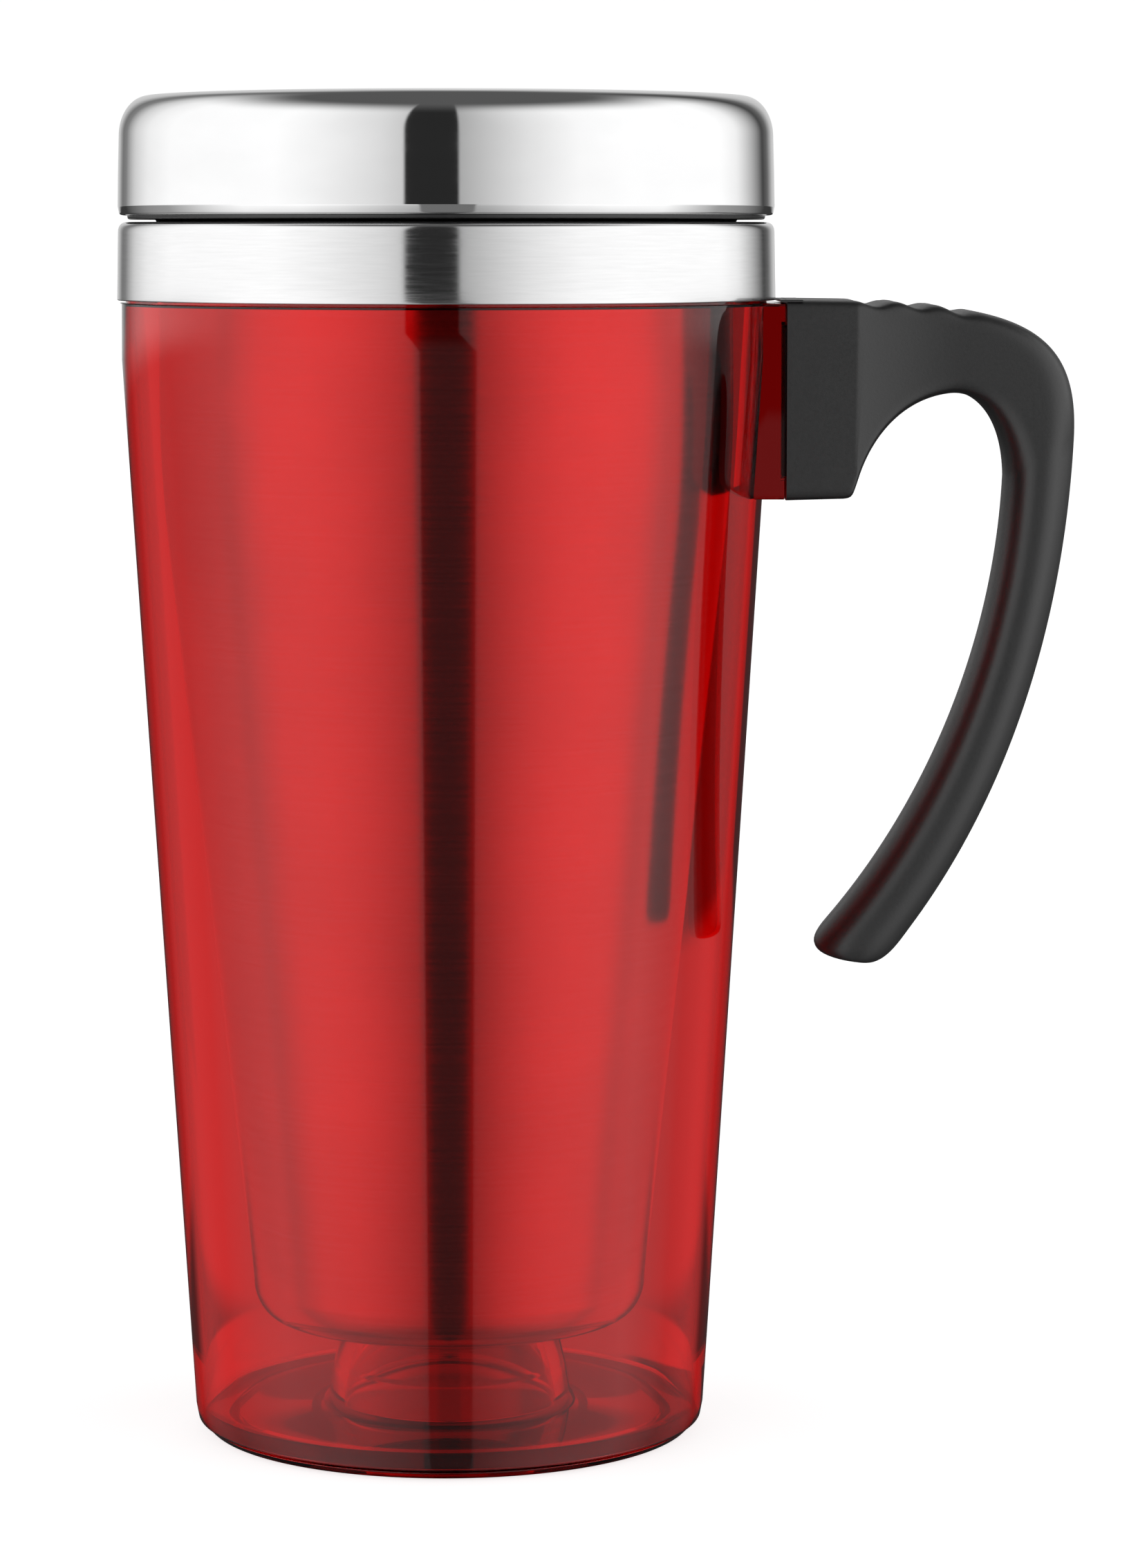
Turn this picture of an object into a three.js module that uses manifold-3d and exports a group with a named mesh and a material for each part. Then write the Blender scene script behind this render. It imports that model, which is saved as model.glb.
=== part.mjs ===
// Insulated travel mug: a drawn steel liner hung in a translucent plastic shell, a side handle plugged
// into a socket on the shell, and a push-in insulated lid with a sliding drink shutter.
// Millimetres, +Z up. The origin is the centre of the underside, on the mug's axis. The handle points
// along +X and the drink hole of the lid lies towards -Y.

import * as THREE from 'three';
import { mergeVertices } from 'three/addons/utils/BufferGeometryUtils.js';
import Module from 'manifold-3d';

const wasm = await Module();
wasm.setup();

// ---------------------------------------------------------------- driving dimensions
const GAP = 0.3;
const TURN_STEPS = 48;
const SMALL_TURN_STEPS = 36;

const shell = {
  bottomZ: 1.35,
  taperZ: 2.3,
  topZ: 147.6,
  bottomR: 33.46,
  topR: 42.42,
  wall: 1.5,
  neckR: 41.4,
  neckBoreR: 40.45,
  neckBottomZ: 147.2,
  neckTopZ: 154.8,
};
const socket = {
  faceX: 43.3,
  halfWidth: 11,
  bottomZ: 122.6,
  wall: 2.4,
  recess: 0.4,
};
const base = {
  rimR: 32.6,
  footR: 31.5,
  rimTopZ: 1.05,
  spigotR: 31.6,
  topZ: 3.6,
  grooveInnerR: 17,
  grooveOuterR: 28.5,
  grooveDepth: 1.3,
  pedestalR: [16.1, 15.2, 14.1],
  pedestalZ: [3.4, 9.6, 13],
  pedestalWall: 2,
};
const liner = {
  sheet: 0.7,
  floorZ: 14.85,
  floorR: 22,
  heelZ: 20,
  heelR: 25.8,
  // Outer radius and height of the wall's corners, above the heel.
  wall: [[35, 106], [36.5, 122], [37.2, 136], [37.2, 147.6]],
  neckR: 40.08,
  neckBottomZ: 149.7,
  lipR: 41.2,
  lipTopZ: 156.8,
};
const collar = {
  sheet: 0.75,
  bottomR: 42.5,
  topR: 42.28,
  bottomZ: 147.9,
  topZ: 157.9,
  edgeR: 1.1,
  mouthR: 39.45,
};
const cover = {
  sheet: 0.7,
  skirtBottomZ: 158.7,
  skirtR: 42.3,
  rimMidR: 38.3,
  rimMidZ: 168.8,
  rimOuter: 3.8,
  rimInner: 2.7,
  rimHeight: 5.15,
  ledgeR: 33.2,
  ledgeZ: 166.8,
};
const plug = {
  flangeR: 41.1,
  flangeBottomZ: 158.2,
  topZ: 166.5,
  panel: 4.3,
  wallR: 37.4,
  wallBottomZ: 149.6,
  noseR: 35.9,
  bore: 33.6,
  bottomZ: 143.3,
  discBottomZ: 141,
  grooveR: 36.2,
  grooveBottomZ: 150.4,
  grooveTopZ: 155.4,
};
const drink = {
  y: -27.2,
  length: 13,
  width: 6,
  tubeWall: 1.6,
};
const vent = {
  x: 15.5,
  y: 21,
  radius: 1.1,
  tubeR: 2.6,
};
const slide = {
  travel: 12,
  frontY: -32.2,
  backY: 9.3,
  halfWidth: 10.8,
  plate: 1.9,
  recess: 2.4,
  stemY: -7.4,
  stemLength: 6,
  stemWidth: 5,
  tabY: 3.6,
  tabLength: 7.5,
  tabHeight: 4.2,
};
const handle = {
  faceX: 43.6,
  blockBottomZ: 122.4,
  blockTopZ: 148.1,
  blockHalfWidth: 11,
  armHalfWidth: 8.5,
  narrowFromX: 52.6,
  narrowToX: 66,
  wall: 2.3,
  seam: 0.15,
  tenonLength: 0.5,
  tenonClear: 0.4,
  lipX: 42.8,
  lipThickness: 0.3,
  sectionSteps: 20,
};

// ---------------------------------------------------------------- materials
function material(color, roughness, metalness, opacity = 1) {
  return new THREE.MeshStandardMaterial({
    color,
    roughness,
    metalness,
    opacity,
    transparent: opacity < 1,
  });
}
const redPlastic = () => material(0xb3262b, 0.12, 0, 0.55);
const satinSteel = () => material(0xc9cacb, 0.38, 1);
const polishedSteel = () => material(0xd8d9da, 0.08, 1);
const drawnSteel = () => material(0xb9babb, 0.25, 1);
const blackPlastic = () => material(0x1d1d1f, 0.55, 0);
const silicone = () => material(0x8e9196, 0.7, 0);
const foam = () => material(0xe9e6dd, 0.9, 0);

// ---------------------------------------------------------------- geometry helpers
const point = (r, z) => new THREE.Vector2(r, z);

function ellipseArc(r, z, radiusR, radiusZ, from, to, steps) {
  const points = [];
  for (let i = 0; i <= steps; i++) {
    const angle = THREE.MathUtils.degToRad(from + ((to - from) * i) / steps);
    points.push(point(r + radiusR * Math.cos(angle), z + radiusZ * Math.sin(angle)));
  }
  return points;
}

// A closed outline (r, z) turned about the Z axis. It may touch the axis with its first and last points.
function revolve(outline, steps = TURN_STEPS) {
  const points = THREE.ShapeUtils.isClockWise(outline) ? outline.slice().reverse() : outline.slice();
  const onAxis = points.filter((p) => p.x < 1e-6).length > 0;
  if (onAxis) {
    while (!(points[0].x < 1e-6 && points[points.length - 1].x < 1e-6)) points.push(points.shift());
  } else {
    points.push(points[0].clone());
  }
  return new THREE.LatheGeometry(points, steps).rotateX(Math.PI / 2);
}

function toSolid(geometry) {
  const bare = geometry.clone();
  bare.deleteAttribute('normal');
  bare.deleteAttribute('uv');
  const merged = mergeVertices(bare, 1e-4);
  const kept = [];
  const index = merged.index.array;
  for (let i = 0; i < index.length; i += 3) {
    const [a, b, c] = [index[i], index[i + 1], index[i + 2]];
    if (a !== b && b !== c && c !== a) kept.push(a, b, c);
  }
  return new wasm.Manifold(
    new wasm.Mesh({
      numProp: 3,
      vertProperties: new Float32Array(merged.attributes.position.array),
      triVerts: new Uint32Array(kept),
    }),
  );
}

function toGeometry(solid) {
  const mesh = solid.getMesh();
  const geometry = new THREE.BufferGeometry();
  geometry.setAttribute('position', new THREE.BufferAttribute(mesh.vertProperties, 3));
  geometry.setIndex(new THREE.BufferAttribute(mesh.triVerts, 1));
  geometry.computeVertexNormals();
  return geometry;
}

function box(sizeX, sizeY, sizeZ, x, y, z) {
  return toSolid(new THREE.BoxGeometry(sizeX, sizeY, sizeZ).translate(x, y, z));
}

function cylinder(radius, bottomZ, topZ, x, y, steps = 24) {
  const height = topZ - bottomZ;
  const geometry = new THREE.CylinderGeometry(radius, radius, height, steps).rotateX(Math.PI / 2);
  return toSolid(geometry.translate(x, y, bottomZ + height / 2));
}

// A flat outline with half-round ends or rounded corners, standing on bottomZ.
function roundedPrism(sizeX, sizeY, cornerR, bottomZ, topZ, x, y, cornerSteps = 6) {
  const shape = new THREE.Shape();
  const corners = [
    [sizeX / 2 - cornerR, sizeY / 2 - cornerR, 0],
    [-sizeX / 2 + cornerR, sizeY / 2 - cornerR, 90],
    [-sizeX / 2 + cornerR, -sizeY / 2 + cornerR, 180],
    [sizeX / 2 - cornerR, -sizeY / 2 + cornerR, 270],
  ];
  shape.setFromPoints(
    corners.flatMap(([cx, cy, from]) => ellipseArc(cx, cy, cornerR, cornerR, from, from + 90, cornerSteps)),
  );
  const geometry = new THREE.ExtrudeGeometry(shape, { depth: topZ - bottomZ, bevelEnabled: false });
  return toSolid(geometry.translate(x, y, bottomZ));
}

const group = new THREE.Group();

function addNode(name, geometry, look) {
  const mesh = new THREE.Mesh(geometry, look);
  mesh.name = name;
  group.add(mesh);
}

// ---------------------------------------------------------------- mug body
const shellSlope = (shell.topR - shell.bottomR) / (shell.topZ - shell.taperZ);
const shellOuterR = (z) => shell.bottomR + (z - shell.taperZ) * shellSlope;
const shellInnerR = (z) => shellOuterR(z) - shell.wall;

function outerShell() {
  const outer = [
    point(0, shell.bottomZ),
    point(shell.bottomR - 0.35, shell.bottomZ),
    point(shell.bottomR, shell.taperZ),
    point(shell.topR, shell.topZ),
    point(shell.neckR, shell.topZ),
    point(shell.neckR, shell.neckTopZ),
    point(0, shell.neckTopZ),
  ];
  const bore = [
    point(0, shell.bottomZ - 1),
    point(shellInnerR(shell.taperZ), shell.bottomZ - 1),
    point(shellInnerR(shell.taperZ), shell.taperZ + 2),
    point(shellInnerR(shell.neckBottomZ), shell.neckBottomZ),
    point(shell.neckBoreR, shell.topZ),
    point(shell.neckBoreR, shell.neckTopZ + 1),
    point(0, shell.neckTopZ + 1),
  ];
  const height = shell.topZ - socket.bottomZ;
  const rootX = 34;
  const boss = toSolid(new THREE.BoxGeometry(socket.faceX - rootX, 2 * socket.halfWidth, height))
    .translate([(socket.faceX + rootX) / 2, 0, socket.bottomZ + height / 2]);
  const seat = box(
    2 * socket.recess,
    2 * (socket.halfWidth - socket.wall),
    height - 2 * socket.wall,
    socket.faceX,
    0,
    socket.bottomZ + height / 2,
  );
  return toGeometry(toSolid(revolve(outer)).add(boss).subtract(toSolid(revolve(bore))).subtract(seat));
}

function basePlate() {
  const [footR, neckR, headR] = base.pedestalR;
  const [footZ, neckZ, headZ] = base.pedestalZ;
  return revolve([
    point(0, 0),
    point(base.grooveInnerR, 0),
    point(base.grooveInnerR + 1, base.grooveDepth),
    point(base.grooveOuterR - 1, base.grooveDepth),
    point(base.grooveOuterR, 0),
    point(base.footR, 0),
    point(base.rimR - 0.2, base.rimTopZ - 0.6),
    point(base.rimR, base.rimTopZ),
    point(base.spigotR, base.rimTopZ),
    point(base.spigotR, base.topZ),
    point(footR, base.topZ),
    point(footR, footZ + 0.4),
    point(neckR, neckZ),
    point(headR, headZ),
    point(headR - base.pedestalWall, headZ),
    point(neckR - base.pedestalWall, neckZ),
    point(footR - base.pedestalWall, footZ),
    point(0, footZ),
  ]);
}

function baseCushion() {
  const headR = base.pedestalR[2];
  return revolve([
    point(headR - 4.5, base.pedestalZ[2] + GAP),
    point(headR, base.pedestalZ[2] + GAP),
    point(headR, liner.floorZ - GAP),
    point(headR - 4.5, liner.floorZ - GAP),
  ], SMALL_TURN_STEPS);
}

function innerLiner() {
  const heelArc = (inset) =>
    ellipseArc(
      liner.floorR,
      liner.heelZ,
      liner.heelR - liner.floorR - inset,
      liner.heelZ - liner.floorZ - inset,
      -90,
      0,
      4,
    );
  const wall = (inset) => liner.wall.map(([r, z]) => point(r - inset, z));
  const lipBottomZ = liner.lipTopZ - liner.sheet;
  return revolve([
    point(0, liner.floorZ),
    ...heelArc(0),
    ...wall(0),
    point(liner.neckR, liner.neckBottomZ),
    point(liner.neckR, lipBottomZ),
    point(liner.lipR, lipBottomZ),
    point(liner.lipR, liner.lipTopZ),
    point(liner.neckR - liner.sheet, liner.lipTopZ),
    point(liner.neckR - liner.sheet, liner.neckBottomZ + liner.sheet / 2),
    ...wall(liner.sheet).reverse(),
    ...heelArc(liner.sheet).reverse(),
    point(0, liner.floorZ + liner.sheet),
  ]);
}

function linerSeal() {
  return revolve([
    point(shell.neckBoreR, shell.neckTopZ + GAP),
    point(shell.neckR, shell.neckTopZ + GAP),
    point(shell.neckR, liner.lipTopZ - liner.sheet - GAP),
    point(shell.neckBoreR, liner.lipTopZ - liner.sheet - GAP),
  ], SMALL_TURN_STEPS);
}

function steelCollar() {
  const { sheet, edgeR, topZ, topR, bottomR, bottomZ, mouthR } = collar;
  return revolve([
    point(bottomR, bottomZ),
    ...ellipseArc(topR - edgeR, topZ - edgeR, edgeR, edgeR, 0, 90, 3),
    point(mouthR, topZ),
    point(mouthR, topZ - sheet),
    ...ellipseArc(topR - edgeR, topZ - edgeR, edgeR - sheet, edgeR - sheet, 90, 0, 1),
    point(bottomR - sheet, bottomZ),
  ]);
}

// ---------------------------------------------------------------- handle
// Each span pairs one curve along the inner edge with one along the outer edge, both in the XZ plane.
// Its squareness is how boxy the section is on the inner and the outer side, at the span's two ends.
const at = (x, z) => new THREE.Vector2(x, z);
const line = (a, b) => new THREE.LineCurve(a, b);
const bend = (a, b, c, d) => new THREE.CubicBezierCurve(a, b, c, d);
const blockSquare = [9, 9];
const webSquare = [6, 5];
const armSquare = [2.6, 2.3];
const armWidth = () => handle.armHalfWidth;
const webWidth = (x) => {
  const t = THREE.MathUtils.clamp((x - handle.narrowFromX) / (handle.narrowToX - handle.narrowFromX), 0, 1);
  return THREE.MathUtils.lerp(handle.armHalfWidth, handle.blockHalfWidth, (1 - t) ** 2);
};
const spans = [
  {
    inner: line(at(handle.faceX, handle.blockBottomZ), at(50.9, 122.6)),
    outer: line(at(handle.faceX, handle.blockTopZ), at(50.9, 148)),
    steps: 1,
    halfWidth: webWidth,
    square: [blockSquare, blockSquare],
  },
  {
    inner: bend(at(50.9, 122.6), at(52.2, 122.7), at(52.1, 123), at(52.76, 124.9)),
    outer: line(at(50.9, 148), at(55, 147.9)),
    steps: 3,
    halfWidth: webWidth,
    square: [blockSquare, blockSquare],
  },
  {
    inner: bend(at(52.76, 124.9), at(54.5, 130.6), at(58.7, 135.4), at(64.9, 136)),
    outer: bend(at(55, 147.9), at(59.5, 147.8), at(63.5, 147.4), at(67.5, 146.6)),
    steps: 5,
    halfWidth: webWidth,
    square: [blockSquare, webSquare],
  },
  {
    inner: bend(at(64.9, 136), at(68.3, 136.3), at(72.2, 133.2), at(72.2, 125.2)),
    outer: bend(at(67.5, 146.6), at(77.8, 144.7), at(81.4, 140), at(81.2, 130)),
    steps: 7,
    halfWidth: armWidth,
    square: [webSquare, armSquare],
  },
  {
    inner: bend(at(72.2, 125.2), at(71.3, 103.3), at(62.6, 82.2), at(49.5, 66.8)),
    outer: bend(at(81.2, 130), at(80.2, 107.6), at(73.9, 84.6), at(60.5, 66.3)),
    steps: 9,
    halfWidth: armWidth,
    square: [armSquare, armSquare],
  },
];
const tip = {
  inner: bend(at(49.5, 66.8), at(47.1, 64), at(47.5, 62.9), at(50.9, 62.6)),
  outer: bend(at(60.5, 66.3), at(59.2, 64.5), at(57.6, 62), at(55.6, 61.9)),
  steps: 4,
  round: 2.5,
};

function handleStations() {
  const stations = [];
  for (const span of spans) {
    const [from, to] = span.square;
    for (let i = stations.length ? 1 : 0; i <= span.steps; i++) {
      const t = i / span.steps;
      stations.push({
        inner: span.inner.getPoint(t),
        outer: span.outer.getPoint(t),
        halfWidth: span.halfWidth,
        square: from.map((value, side) => THREE.MathUtils.lerp(value, to[side], t)),
      });
    }
  }
  return stations;
}

function tipStations() {
  const stations = [];
  for (let i = 1; i <= tip.steps; i++) {
    const t = i / tip.steps;
    const halfWidth = handle.armHalfWidth - tip.round * (1 - Math.sqrt(1 - t * t));
    stations.push({
      inner: tip.inner.getPoint(t),
      outer: tip.outer.getPoint(t),
      halfWidth: () => halfWidth,
      square: armSquare,
    });
  }
  return stations;
}

// One rounded section across the arm: half a superellipse on the inner side, half on the outer side.
function armSection(station, inset) {
  const { inner, outer, halfWidth, square } = station;
  const middle = inner.clone().add(outer).multiplyScalar(0.5);
  const reach = outer.clone().sub(inner).multiplyScalar(0.5);
  const half = reach.length() - inset;
  const along = reach.normalize();
  const ring = [];
  for (let i = 0; i < handle.sectionSteps; i++) {
    const angle = (2 * Math.PI * i) / handle.sectionSteps;
    const power = 2 / square[Math.cos(angle) < 0 ? 0 : 1];
    const u = half * Math.sign(Math.cos(angle)) * Math.abs(Math.cos(angle)) ** power;
    const x = middle.x + along.x * u;
    const v = (halfWidth(x) - inset) * Math.sign(Math.sin(angle)) * Math.abs(Math.sin(angle)) ** power;
    ring.push(new THREE.Vector3(x, v, middle.y + along.y * u));
  }
  return ring;
}

function loft(stations, inset) {
  const count = handle.sectionSteps;
  const positions = [];
  const index = [];
  const rings = stations.map((station) => armSection(station, inset));
  rings.flat().forEach((p) => positions.push(p.x, p.y, p.z));
  for (let i = 0; i < rings.length - 1; i++) {
    for (let j = 0; j < count; j++) {
      const a = i * count + j;
      const b = i * count + ((j + 1) % count);
      index.push(a, b, a + count, b, b + count, a + count);
    }
  }
  const last = (rings.length - 1) * count;
  for (let j = 1; j < count - 1; j++) {
    index.push(0, j + 1, j);
    index.push(last, last + j, last + j + 1);
  }
  const geometry = new THREE.BufferGeometry();
  geometry.setAttribute('position', new THREE.Float32BufferAttribute(positions, 3));
  geometry.setIndex(index);
  const solid = toSolid(geometry);
  return solid.volume() > 0 ? solid : toSolid(flipped(geometry));
}

function flipped(geometry) {
  const turned = geometry.clone();
  const index = turned.index.array;
  for (let i = 0; i < index.length; i += 3) [index[i], index[i + 1]] = [index[i + 1], index[i]];
  return turned;
}

function wholeHandle() {
  const stations = handleStations();
  const outside = loft([...stations, ...tipStations()], 0);
  const inside = loft(stations.slice(1, -1), handle.wall);
  const tenonHalfWidth = socket.halfWidth - socket.wall - handle.tenonClear;
  const tenonBottomZ = socket.bottomZ + socket.wall + handle.tenonClear;
  const tenonTopZ = shell.topZ - socket.wall - handle.tenonClear;
  const tenon = box(
    2 * handle.tenonLength,
    2 * tenonHalfWidth,
    tenonTopZ - tenonBottomZ,
    handle.faceX,
    0,
    (tenonBottomZ + tenonTopZ) / 2,
  );
  const lipLength = handle.faceX + 1 - handle.lipX;
  const lip = box(
    lipLength,
    2 * handle.blockHalfWidth - 2,
    handle.lipThickness,
    handle.lipX + lipLength / 2,
    0,
    handle.blockTopZ - handle.lipThickness / 2,
  );
  return outside.add(tenon).add(lip).subtract(inside);
}

function handleHalf(side) {
  const reach = 100;
  const keep = box(reach, reach, 200, 60, side * (reach / 2 + handle.seam), 100);
  return toGeometry(wholeHandle().intersect(keep));
}

// ---------------------------------------------------------------- lid
const panelBottomZ = plug.topZ - plug.panel;

function lidCover() {
  const { sheet, rimMidR, rimMidZ, rimOuter, rimInner, rimHeight } = cover;
  const outside = [
    point(cover.skirtR - 0.6, cover.skirtBottomZ),
    point(cover.skirtR - 0.15, cover.skirtBottomZ + 0.5),
    point(cover.skirtR, cover.skirtBottomZ + 1.1),
    ...ellipseArc(rimMidR, rimMidZ, rimOuter, rimHeight, 0, 90, 5),
    ...ellipseArc(rimMidR, rimMidZ, rimInner, rimHeight, 115, 170, 3),
    point(cover.ledgeR + 1.6, cover.ledgeZ + sheet),
    point(cover.ledgeR, cover.ledgeZ + sheet),
  ];
  const inside = [
    point(cover.ledgeR, cover.ledgeZ),
    point(cover.ledgeR + 2, cover.ledgeZ),
    ...ellipseArc(rimMidR, rimMidZ, rimInner - sheet, rimHeight - sheet, 170, 115, 2),
    ...ellipseArc(rimMidR, rimMidZ, rimOuter - sheet, rimHeight - sheet, 90, 0, 4),
    point(cover.skirtR - sheet, cover.skirtBottomZ + 1.1),
    point(cover.skirtR - sheet, cover.skirtBottomZ),
  ];
  return revolve([...outside, ...inside]);
}

function drinkPrism(grow, bottomZ, topZ) {
  const length = drink.length + 2 * grow;
  const width = drink.width + 2 * grow;
  return roundedPrism(length, width, width / 2 - 0.01, bottomZ, topZ, 0, drink.y);
}

function lidBody() {
  const body = revolve([
    point(0, panelBottomZ),
    point(plug.bore, panelBottomZ),
    point(plug.bore, plug.bottomZ),
    point(plug.noseR, plug.bottomZ),
    point(plug.noseR, plug.wallBottomZ - 0.6),
    point(plug.wallR, plug.wallBottomZ),
    point(plug.wallR, plug.grooveBottomZ),
    point(plug.grooveR, plug.grooveBottomZ),
    point(plug.grooveR, plug.grooveTopZ),
    point(plug.wallR, plug.grooveTopZ),
    point(plug.wallR, plug.flangeBottomZ),
    point(plug.flangeR, plug.flangeBottomZ),
    point(plug.flangeR, plug.topZ),
    point(0, plug.topZ),
  ]);
  const trackLength = slide.backY + slide.travel - slide.frontY + 0.8;
  const trackY = (slide.backY + slide.travel + slide.frontY) / 2;
  const floorZ = plug.topZ - slide.recess;
  const trackWidth = 2 * (slide.halfWidth + GAP);
  const track = roundedPrism(trackWidth, trackLength, 3.3, floorZ, plug.topZ + 1, 0, trackY);
  const slotLength = slide.stemLength + slide.travel + 0.8;
  const slotY = slide.stemY + slide.travel / 2;
  const slot = box(slide.stemWidth + 0.7, slotLength, 10, 0, slotY, plug.topZ - 4);
  const tubeTopZ = panelBottomZ + 1;
  return toGeometry(
    toSolid(body)
      .add(drinkPrism(drink.tubeWall, plug.bottomZ, tubeTopZ))
      .add(cylinder(vent.tubeR, plug.bottomZ, tubeTopZ, vent.x, vent.y))
      .subtract(track)
      .subtract(slot)
      .subtract(drinkPrism(0, plug.bottomZ - 1, plug.topZ + 1))
      .subtract(cylinder(vent.radius, plug.bottomZ - 1, plug.topZ + 1, vent.x, vent.y)),
  );
}

function lidBottom() {
  const disc = revolve([
    point(0, plug.discBottomZ),
    point(plug.noseR - 1.2, plug.discBottomZ),
    point(plug.noseR, plug.discBottomZ + 1.2),
    point(plug.noseR, plug.bottomZ - GAP),
    point(0, plug.bottomZ - GAP),
  ]);
  return toGeometry(
    toSolid(disc)
      .subtract(drinkPrism(0, plug.discBottomZ - 1, plug.bottomZ + 1))
      .subtract(cylinder(vent.radius, plug.discBottomZ - 1, plug.bottomZ + 1, vent.x, vent.y)),
  );
}

function lidInsulation() {
  const bottomZ = plug.bottomZ + 0.4;
  const topZ = panelBottomZ - 7.2;
  const disc = revolve([
    point(0, bottomZ),
    point(plug.bore - 0.5, bottomZ),
    point(plug.bore - 0.5, topZ),
    point(0, topZ),
  ], SMALL_TURN_STEPS);
  return toGeometry(
    toSolid(disc)
      .subtract(drinkPrism(drink.tubeWall + 0.5, bottomZ - 1, topZ + 1))
      .subtract(cylinder(vent.tubeR + 0.5, bottomZ - 1, topZ + 1, vent.x, vent.y)),
  );
}

function lidGasket() {
  const rootR = plug.grooveR + GAP;
  const bottomZ = plug.grooveBottomZ + GAP;
  const topZ = plug.grooveTopZ - GAP;
  const lipR = liner.neckR - liner.sheet - GAP;
  return revolve([
    point(rootR, bottomZ),
    point(plug.wallR, bottomZ),
    point(lipR, bottomZ + 1),
    point(lipR, bottomZ + 1.5),
    point(plug.wallR + 0.3, bottomZ + 1.9),
    point(plug.wallR + 0.3, topZ - 1.6),
    point(lipR, topZ - 1.2),
    point(lipR, topZ - 0.7),
    point(plug.wallR, topZ),
    point(rootR, topZ),
  ], SMALL_TURN_STEPS);
}

function slider() {
  const length = slide.backY - slide.frontY;
  const middleY = (slide.backY + slide.frontY) / 2;
  const bottomZ = plug.topZ - slide.plate;
  const plate = roundedPrism(2 * slide.halfWidth, length, 3, bottomZ, plug.topZ, 0, middleY);
  const sealSeat = roundedPrism(
    drink.length + 3.6, drink.width + 3.6, drink.width / 2 + 1.7, bottomZ - 1, bottomZ + 0.9, 0, drink.y,
  );
  const stem = box(slide.stemWidth, slide.stemLength, 6.4, 0, slide.stemY, bottomZ - 2.2);
  const tab = roundedPrism(
    1.5 * slide.halfWidth, slide.tabLength, 3, plug.topZ - 1, plug.topZ + slide.tabHeight, 0, slide.tabY,
  );
  let solid = plate.subtract(sealSeat).add(stem).add(tab);
  for (const offset of [-2, 0, 2]) {
    const notch = cylinder(0.5, -15, 15, 0, 0, 10).rotate([0, 90, 0]);
    solid = solid.subtract(notch.translate([0, slide.tabY + offset, plug.topZ + slide.tabHeight]));
  }
  return toGeometry(solid.subtract(cylinder(0.9, bottomZ - 6, bottomZ + 0.6, 0, slide.stemY, 12)));
}

const stemBottomZ = plug.topZ - slide.plate - 5.4;

function sliderSeal() {
  const topZ = plug.topZ - slide.plate + 0.6;
  const bottomZ = plug.topZ - slide.recess + 0.1;
  return toGeometry(
    roundedPrism(drink.length + 3, drink.width + 3, drink.width / 2 + 1.4, bottomZ, topZ, 0, drink.y),
  );
}

function sliderClip() {
  const topZ = panelBottomZ - GAP;
  const bottomZ = stemBottomZ - 1.6;
  const plate = roundedPrism(14, 12, 2, bottomZ, topZ, 0, slide.stemY);
  const pocketClear = 0.3;
  const pocket = box(
    slide.stemWidth + 2 * pocketClear,
    slide.stemLength + 2 * pocketClear,
    10,
    0,
    slide.stemY,
    stemBottomZ - GAP + 5,
  );
  return toGeometry(plate.subtract(pocket).subtract(cylinder(1.3, bottomZ - 1, topZ, 0, slide.stemY, 16)));
}

function sliderScrew() {
  const clipBottomZ = stemBottomZ - 1.6;
  const head = cylinder(2.2, clipBottomZ - 1.4, clipBottomZ - GAP, 0, slide.stemY, 18);
  const shank = cylinder(0.6, clipBottomZ - 0.8, stemBottomZ + 4.5, 0, slide.stemY, 12);
  const drive = box(0.6, 2.6, 1, 0, slide.stemY, clipBottomZ - 1.4);
  const cross = box(2.6, 0.6, 1, 0, slide.stemY, clipBottomZ - 1.4);
  return toGeometry(head.add(shank).subtract(drive).subtract(cross));
}

// ---------------------------------------------------------------- assembly
addNode('outer_shell', outerShell(), redPlastic());
addNode('base_plate', basePlate(), redPlastic());
addNode('base_cushion', baseCushion(), silicone());
addNode('inner_liner', innerLiner(), drawnSteel());
addNode('liner_seal', linerSeal(), silicone());
addNode('steel_collar', steelCollar(), satinSteel());
addNode('handle_front_half', handleHalf(-1), blackPlastic());
addNode('handle_back_half', handleHalf(1), blackPlastic());
addNode('lid_cover', lidCover(), polishedSteel());
addNode('lid_body', lidBody(), blackPlastic());
addNode('lid_bottom', lidBottom(), blackPlastic());
addNode('lid_insulation', lidInsulation(), foam());
addNode('lid_gasket', lidGasket(), silicone());
addNode('slider', slider(), blackPlastic());
addNode('slider_seal', sliderSeal(), silicone());
addNode('slider_clip', sliderClip(), blackPlastic());
addNode('slider_screw', sliderScrew(), drawnSteel());

export default group;
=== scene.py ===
"""Looks of the insulated travel mug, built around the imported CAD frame. Sizes are in millimetres in the
outlines and become metres when a mesh is made."""

import math

import bmesh
import bpy
from mathutils import Matrix, Vector


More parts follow.
